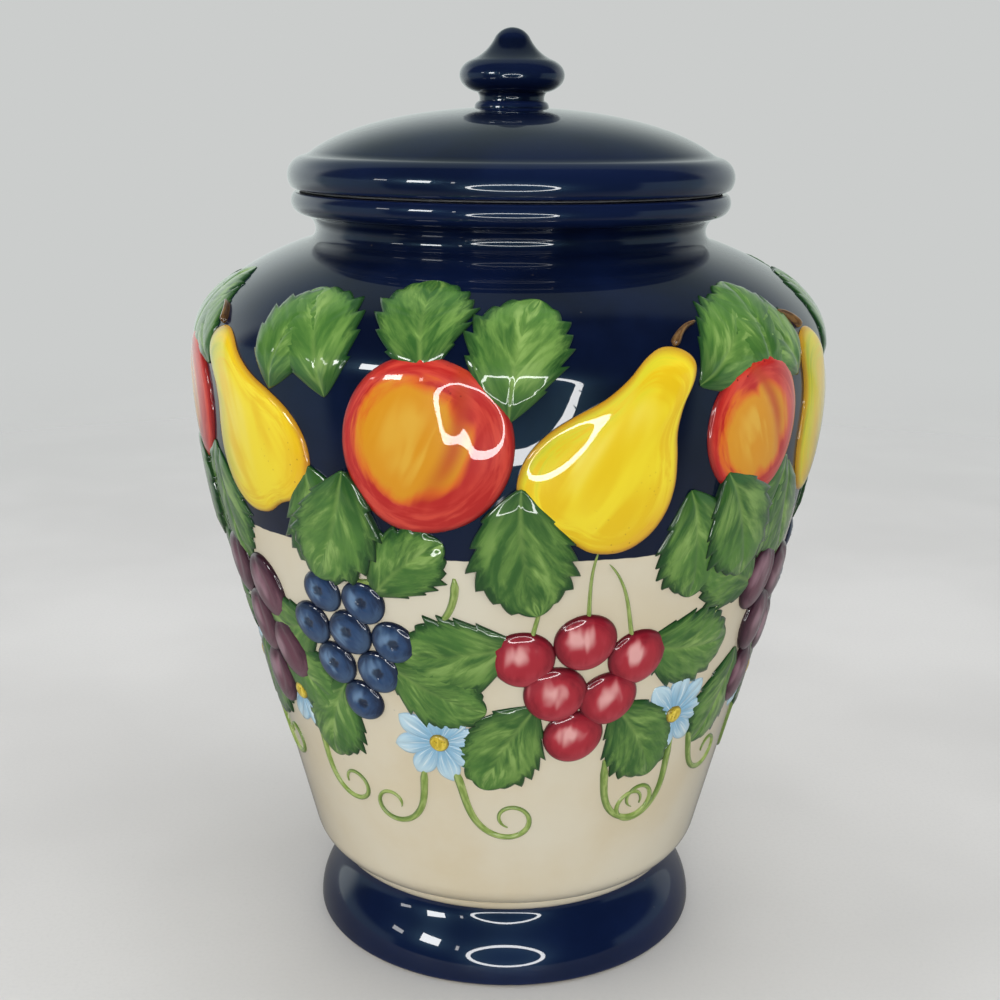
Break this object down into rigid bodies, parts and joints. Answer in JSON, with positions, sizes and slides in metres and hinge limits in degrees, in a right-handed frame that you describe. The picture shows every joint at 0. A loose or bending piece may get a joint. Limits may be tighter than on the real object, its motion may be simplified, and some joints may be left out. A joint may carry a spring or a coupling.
{
  "type": "lidded cookie jar",
  "caption": "Footed ceramic cookie jar with a tapered round belly in a low relief of fruit and leaves, a short neck and a domed lift-off lid with a finial and a seal, for keeping biscuits.",
  "frame": {"origin": "centre of the foot ring, at the plane the jar stands on", "axes": "+Z is the jar's axis, from the foot up to the finial; the jar is round, its relief comes three times round, and -Y, the middle of one of the three, is the side that faces the viewer"},
  "size_m": [0.2066, 0.2072, 0.3],
  "materials": {
    "jar_body": "high gloss cobalt glaze on foot, shoulder, neck and rim, cream glaze on the lower belly",
    "seal_ring": "satin translucent silicone",
    "lid": "high gloss cobalt glaze",
    "finial": "high gloss cobalt glaze"
  },
  "bodies": {
    "jar": {"jar_body": "jar_body"},
    "lid_seal": {"seal_ring": "seal_ring"},
    "lid": {"lid": "lid", "finial": "finial"}
  },
  "joints": [
    {"name": "lid_lift", "type": "slide", "parent": "jar", "child": "lid_seal", "axis": [0, 0, 1], "range_m": [0, 0.12]},
    {"name": "lid_turn", "type": "hinge", "parent": "lid_seal", "child": "lid", "pos_m": [0, 0, 0.25], "axis": [0, 0, 1], "continuous": true}
  ]
}
